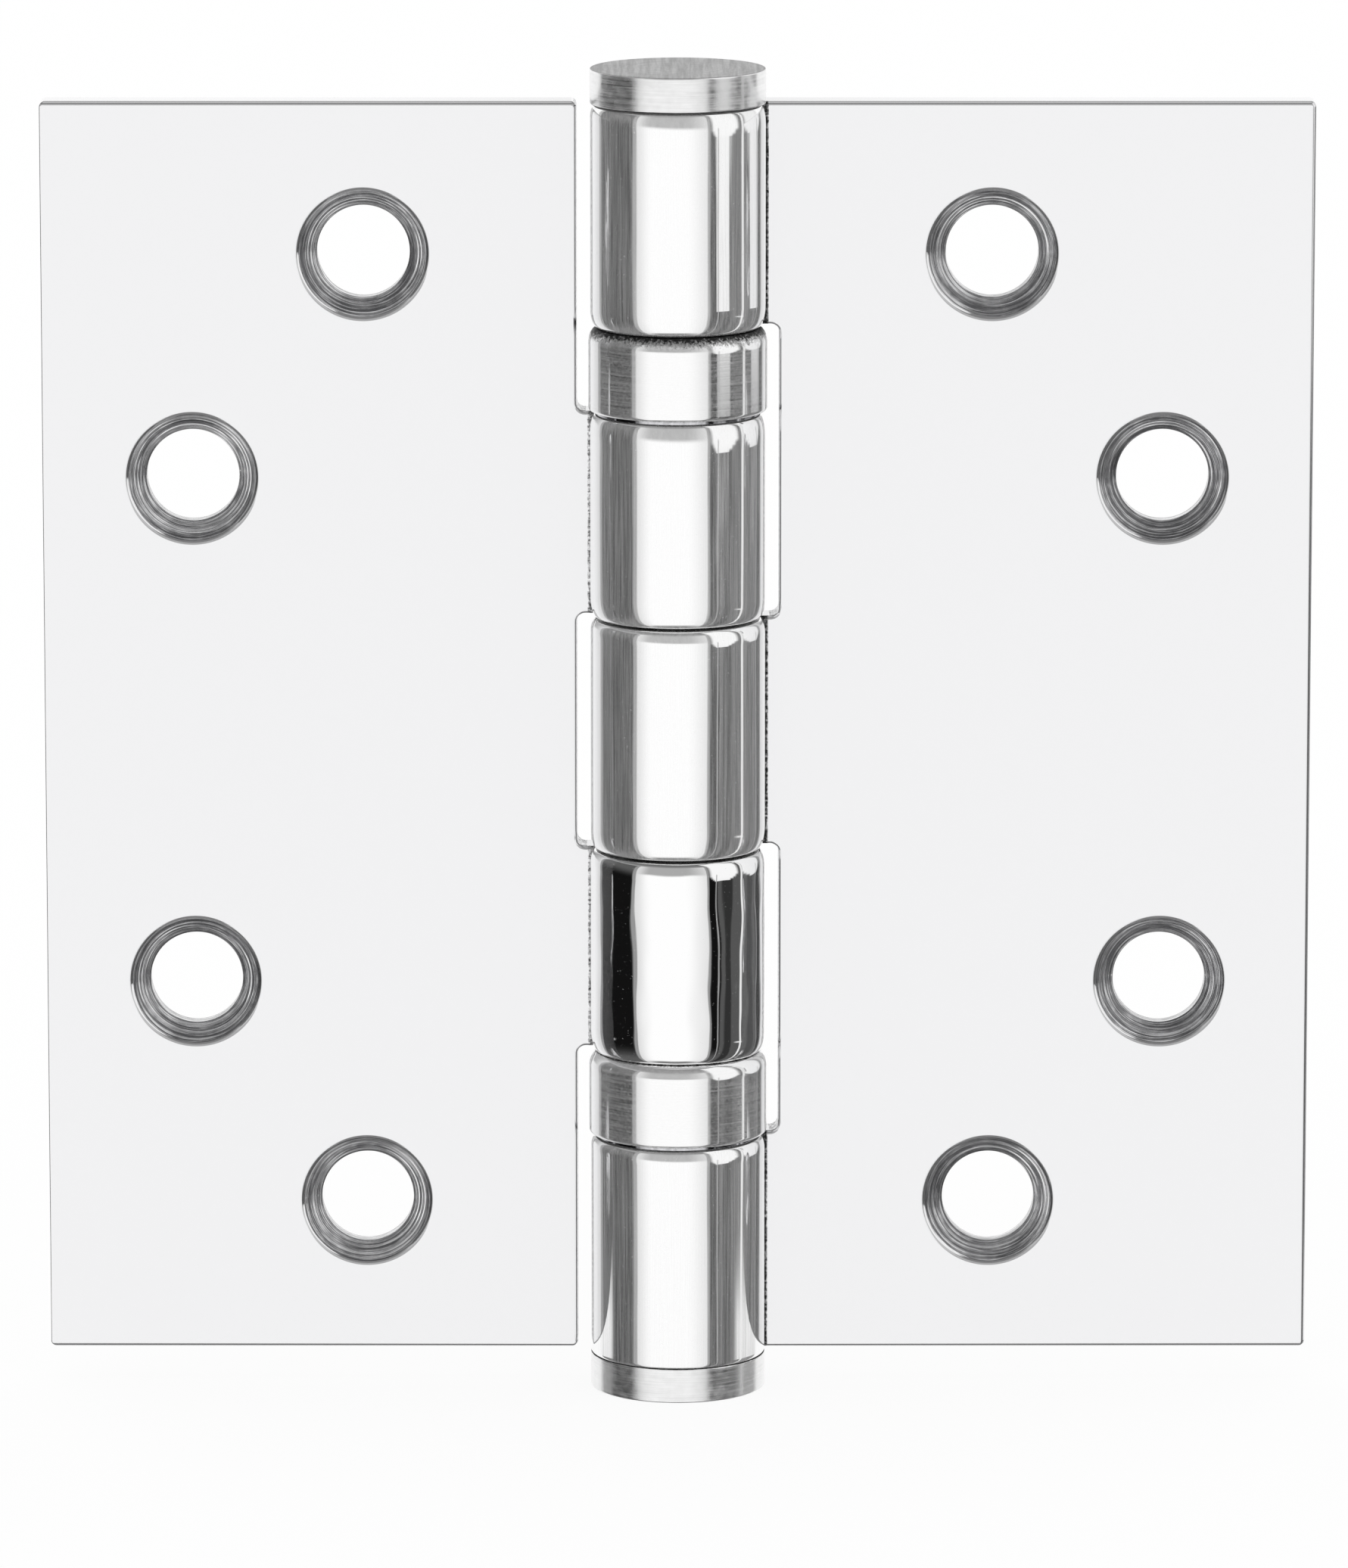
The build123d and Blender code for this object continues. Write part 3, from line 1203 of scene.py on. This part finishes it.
@dataclass(frozen=True)
class Studio:
    """White surroundings with dark flags at the sides, a pale floor and the camera."""

    panels: tuple[Panel, ...] = (
        # Grey room above, white wall behind, dark ceiling and dark ground below
        Panel((-180, 180), (3, 91), 0.4, fade=3.0),
        Panel((-181, -128), (-60, 24), 1.0, 3.0, 3.0),
        Panel((128, 181), (-60, 24), 1.0, 3.0, 3.0),
        Panel((-180, 180), (38, 91), 0.16, fade=10.0),
        Panel((-180, 180), (70, 91), 0.6, fade=5.0),
        Panel((-180, 180), (-91, -50), 0.17, fade=6.0),
        # The white wall in front dims towards the flags
        Panel((-70, -46), (-60, 34), 0.72, 12.0),
        Panel((30, 60), (-60, 34), 0.72, 20.0),
        # Flag on the left, with its grey border, dark core and the slit of light beside it
        Panel((-121, -56), (-60, 34), 0.1, 1.5),
        Panel((-61, -56), (-60, 34), 0.3),
        Panel((-98, -62), (-28, 6), 0.006, 1.5, 12.0),
        Panel((-110, -107), (-7.75, -7.35), 0.9, 0.5, 0.2),
        Panel((-126, -97), (-14.2, -13.2), 0.9, 4.0, 0.4),
        # Flag on the right, with the soft box that stands above its lower half
        Panel((40, 125), (-60, 34), 0.09),
        Panel((40, 43), (-60, 34), 0.3),
        Panel((43.5, 57), (-28, 4), 0.006, fade=10.0),
        Panel((98, 125), (-60, 34), 0.18, 3.0),
        Panel((63, 75), (-60, 2), 0.03, 2.0),
        Panel((52, 71), (-8.55, 60), 0.9, fade=0.25),
        Panel((50, 76), (-7, 60), 0.92, 2.0, 1.0),
        Panel((48, 81), (-5, 60), 0.94, 3.0, 1.5),
        Panel((46, 86), (-2, 60), 0.94, 4.0, 2.0),
        Panel((99, 128), (-2, 60), 0.85, 4.0, 5.0),
        Panel((53.5, 55), (-60, 2), 0.35, 0.6),
        Panel((92.5, 96.5), (-60, 40), 0.8, 0.8),
        Panel((84, 128), (-14.2, -13.2), 0.85, 5.0, 0.4),
    )
    floor_size: float = 8.0
    floor_colour: str = "fdfdfd"
    floor_roughness: float = 0.9
    floor_white: float = 0.9  # share of plain white that the camera sees on the floor
    distance_mm: float = 850.0
    elevation: float = 10.4
    aim_mm: float = 9.0
    frame_mm: float = 123.8
    centre_px: tuple[float, float] = (895.5, 967.0)  # where the middle of the hinge lies in the photo
    sensor_mm: float = 36.0
    clip_m: tuple[float, float] = (0.01, 50.0)

    def surroundings(self) -> None:
        """Builds the world: even white light, and for reflections the studio's panels by direction."""
        world = bpy.data.worlds.new("studio")
        bpy.context.scene.world = world
        world.use_nodes = True
        tree = world.node_tree
        back = tree.nodes["Background"]
        direction = add_node(tree, "ShaderNodeTexCoord").outputs["Generated"]
        axes = add_node(tree, "ShaderNodeSeparateXYZ", {0: direction})
        towards = add_node(tree, "ShaderNodeMath", {0: axes.outputs[1], 1: -1.0}, operation="MULTIPLY")
        turn = add_node(
            tree, "ShaderNodeMath", {0: axes.outputs[0], 1: towards.outputs[0]}, operation="ARCTAN2"
        )
        azimuth = add_node(tree, "ShaderNodeMath", {0: turn.outputs[0]}, operation="DEGREES")
        rise = add_node(tree, "ShaderNodeMath", {0: axes.outputs[2]}, operation="ARCSINE")
        elevation = add_node(tree, "ShaderNodeMath", {0: rise.outputs[0]}, operation="DEGREES")
        level: Any = 1.0
        for panel in self.panels:
            inside: Any = 1.0
            for angle, ((low, high), soft) in zip((azimuth, elevation), panel.edges()):
                for edge, ends in ((low, (0.0, 1.0)), (high, (1.0, 0.0))):
                    step = add_node(
                        tree,
                        "ShaderNodeMapRange",
                        {
                            "Value": angle.outputs[0],
                            "From Min": edge - soft,
                            "From Max": edge + soft,
                            "To Min": ends[0],
                            "To Max": ends[1],
                        },
                        interpolation_type="SMOOTHSTEP",
                    )
                    inside = add_node(
                        tree, "ShaderNodeMath", {0: inside, 1: step.outputs[0]}, operation="MULTIPLY"
                    ).outputs[0]
            level = add_node(
                tree, "ShaderNodeMix", {0: inside, 2: level, 3: panel.level}, data_type="FLOAT"
            ).outputs[0]
        path = add_node(tree, "ShaderNodeLightPath")
        shown = add_node(
            tree, "ShaderNodeMix", {0: path.outputs["Is Glossy Ray"], 2: 1.0, 3: level}, data_type="FLOAT"
        )
        tree.links.new(shown.outputs[0], back.inputs["Strength"])
        back.inputs["Color"].default_value = (1, 1, 1, 1)

    def floor(self, level: float) -> None:
        """Lays a pale floor that shows white to the camera and keeps a faint shadow.

        Args:
            level: Height of the floor, in metres.
        """
        half = self.floor_size / 2
        mesh = bpy.data.meshes.new("floor")
        corners = [(x * half, y * half, level) for x, y in ((-1, -1), (1, -1), (1, 1), (-1, 1))]
        mesh.from_pydata(corners, [], [(0, 1, 2, 3)])
        floor = bpy.data.objects.new("floor", mesh)
        bpy.context.scene.collection.objects.link(floor)
        floor.visible_glossy = False
        material = bpy.data.materials.new("pale_floor")
        material.use_nodes = True
        tree = material.node_tree
        shader = tree.nodes["Principled BSDF"]
        shader.inputs["Base Color"].default_value = linear(self.floor_colour)
        shader.inputs["Roughness"].default_value = self.floor_roughness
        shader.inputs["Specular IOR Level"].default_value = 0.0
        glow = add_node(tree, "ShaderNodeEmission", {"Color": (1, 1, 1, 1), "Strength": 1.0})
        seen = add_node(tree, "ShaderNodeLightPath").outputs["Is Camera Ray"]
        share = add_node(tree, "ShaderNodeMath", {0: seen, 1: self.floor_white}, operation="MULTIPLY")
        mix = add_node(
            tree, "ShaderNodeMixShader", {0: share.outputs[0], 1: shader.outputs[0], 2: glow.outputs[0]}
        )
        tree.links.new(mix.outputs[0], tree.nodes["Material Output"].inputs["Surface"])
        mesh.materials.append(material)
        floor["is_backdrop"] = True

    def camera(self) -> None:
        """Sets the camera in front of the hinge and above it.

        It looks at a point on the pin, and the lens shift brings the hinge's middle to its place.
        """
        data = bpy.data.cameras.new("camera")
        camera = bpy.data.objects.new("camera", data)
        bpy.context.scene.collection.objects.link(camera)
        tilt = radians(self.elevation)
        place = Vector((0, -cos(tilt), sin(tilt))) * self.distance_mm * MM
        aim = Vector((0, 0, self.aim_mm * MM))
        camera.location = place
        camera.rotation_euler = (aim - place).to_track_quat("-Z", "Y").to_euler()
        data.sensor_width = self.sensor_mm
        data.lens = data.sensor_width * self.distance_mm / self.frame_mm
        data.clip_start, data.clip_end = self.clip_m
        right = (self.centre_px[0] - PHOTO_WIDTH / 2) / PHOTO_HEIGHT
        up = (PHOTO_HEIGHT / 2 - self.centre_px[1]) / PHOTO_HEIGHT
        data.shift_x = -right
        data.shift_y = -up - self.aim_mm * cos(tilt) / self.frame_mm
        bpy.context.scene.camera = camera

    def build(self, floor_level: float) -> None:
        """Builds the whole studio.

        Args:
            floor_level: Height of the floor, in metres.
        """
        self.surroundings()
        self.floor(floor_level)
        self.camera()
        bpy.context.scene.view_settings.view_transform = "Standard"


# The hinge


@dataclass
class Hinge:
    """The hinge's pieces, each dressed and set on its body."""

    frame: dict[str, Any]
    barrel: Barrel
    bodies: dict[str, str] = field(init=False)
    leaf_finishes: list[bpy.types.Material] = field(init=False)
    ring_finish: bpy.types.Material = field(init=False)
    tip_finish: bpy.types.Material = field(init=False)
    pin_finish: bpy.types.Material = field(init=False)
    race_finish: bpy.types.Material = field(init=False)
    cage_finish: bpy.types.Material = field(init=False)

    def __post_init__(self) -> None:
        """Finds each node's body and makes the finishes."""
        groups = self.frame["record"]["behaviour"]["bodies"]
        self.bodies = {node: body for body, nodes in groups.items() for node in nodes}
        self.leaf_finishes = [
            PolishedSteel().build(),
            # Buffed longest: black and white reflections that waver
            PolishedSteel(
                "mirror_stainless",
                haze=(0.0, 0.0),
                roughness=(0.015, 0.05),
                wave_mm=3.0,
                wave_depth_mm=0.12,
                wave_stretch=2.0,
            ).build(),
            CutSteel().build(),
        ]
        # Turned, then polished: faint level lines in bright and dark bands
        self.ring_finish = TurnedSteel(
            "ring_steel", "fefefe", (0.05, 0.12), haze=(0.08, 0.24), ring_depth_mm=0.0003, tint=0.98
        ).build()
        # Turned and left satin, so that reflections blur along level lines, with a duller ground face
        self.tip_finish = TurnedSteel(
            "turned_tip_steel",
            "fdfdfd",
            (0.15, 0.26),
            haze=(0.08, 0.24),
            face="e2e2e2",
            face_roughness=0.5,
            ring_depth_mm=0.0003,
            speck_mm=0.6,
            tint=0.8,
        ).build()
        # Inside: a dull ground pin, bright raceways and balls, and yellow cages
        self.pin_finish = TurnedSteel("ground_pin_steel", "c9c9cb", (0.2, 0.3)).build()
        self.race_finish = TurnedSteel("hardened_bearing_steel", "dfdfe2", (0.06, 0.12)).build()
        self.cage_finish = TurnedSteel("stamped_brass", "d9ae5e", (0.25, 0.4), ring_mm=0.4).build()

    def seat(self, piece: bpy.types.Object, node: str) -> None:
        """Puts a piece in a node's place, on that node's body.

        Args:
            piece: The new piece.
            node: The node that it stands for.
        """
        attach(piece, self.bodies[node])
        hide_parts(node)
        faces = len(piece.data.polygons)
        log.info("%s stands for %s on %s, %d faces", piece.name, node, self.bodies[node], faces)

    def holes(self, side: str) -> list[ScrewHole]:
        """Screw holes of a leaf, from the record's screw mounts.

        Args:
            side: "right" or "left".

        Returns:
            Four holes, with X measured away from the pin.
        """
        found = []
        for mount in self.frame["record"]["mounts"]:
            if mount["kind"] == "bolt_pattern" and mount["name"].startswith(side):
                sizes = mount["dims"]
                half = sizes["spacing_y_mm"] / 2
                x = abs(mount["pos_m"][0]) / MM
                found += [ScrewHole(x, z, sizes["hole_r_mm"]) for z in (half, -half)]
        return found

    def leaves(self) -> None:
        """Builds both leaves, with the knuckles from the top down and the wear and painted shade that each
        shows.
        """
        b = self.barrel
        right = [
            Knuckle(
                b.end_bottom,
                b.end_top,
                lower=EndRound(depth=0.5, length=1.5, residue_and_shade_falloff=1.6, stain_and_shade=0.62),
                upper=EndRound(length=1.3, lean=0.45, stain_and_shade=0.8),
            ),
            Knuckle(-b.middle_top, b.middle_top, upper=EndRound(length=1.0)),
            Knuckle(
                -b.end_top,
                -b.end_bottom,
                lower=EndRound(depth=0.12, length=0.25, residue_and_shade_falloff=2.0, stain_and_shade=0.7),
                upper=EndRound(length=1.0),
            ),
        ]
        left = [
            Knuckle(b.inner_bottom, b.inner_top, upper=EndRound(length=1.6, lean=0.4, towards=-110)),
            Knuckle(-b.inner_top, -b.inner_bottom, upper=EndRound(towards=-120), finish=Finish.MIRROR),
        ]
        for name, side, knuckles, wear_and_shade in (
            ("right", 1, right, {"side_round": 0.38, "slit_grime": 0.66}),
            ("left", -1, left, {"side_round": 0.12, "slit_grime": 0.5}),
        ):
            leaf = Leaf(f"{name}_leaf_polished", side, knuckles, self.holes(name), b, **wear_and_shade)
            self.seat(leaf.build(self.leaf_finishes), f"{name}_leaf")

    def tips(self) -> None:
        """Builds the two button tips."""
        for name, end in (("top_tip", 1), ("bottom_tip", -1)):
            tip = ButtonTip(f"{name}_turned", end, self.barrel).build(self.tip_finish)
            self.seat(tip, name)

    def bearings(self) -> None:
        """Builds the rings and balls of both bearings, and dresses what stays as solids."""
        for name, base, grime in (
            ("upper_bearing", self.barrel.inner_top, 1.1),
            ("lower_bearing", -self.barrel.end_bottom, 0.2),
        ):
            ring = BearingHousing(f"{name}_ring", base, shoulder_grime_and_shade=grime).build(self.ring_finish)
            self.seat(ring, f"{name}_housing")
            for node in sorted(self.bodies):
                if node.startswith(f"{name}_ball"):
                    self.seat(Ball(node).build(self.race_finish), node)
            self.dress(f"{name}_race", self.race_finish)
            self.dress(f"{name}_cage", self.cage_finish)

    def dress(self, node: str, finish: bpy.types.Material) -> None:
        """Gives a solid that is shown as it is a better finish.

        Args:
            node: The solid's node.
            finish: Its material.
        """
        for slot in self.frame["nodes"][node].material_slots:
            slot.material = finish
        log.info("%s keeps its solid, in %s", node, finish.name)

    def build(self) -> None:
        """Builds and dresses every piece."""
        self.leaves()
        self.tips()
        self.bearings()
        self.dress("hinge_pin", self.pin_finish)


def main() -> None:
    """Builds the hinge and its studio."""
    logging.basicConfig(level=logging.INFO, format="%(name)s: %(message)s")
    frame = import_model()
    cad_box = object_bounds()
    Hinge(frame, Barrel.from_frame()).build()
    Studio().build(cad_box[0].z)
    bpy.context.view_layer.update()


if __name__ == "__main__":
    main()
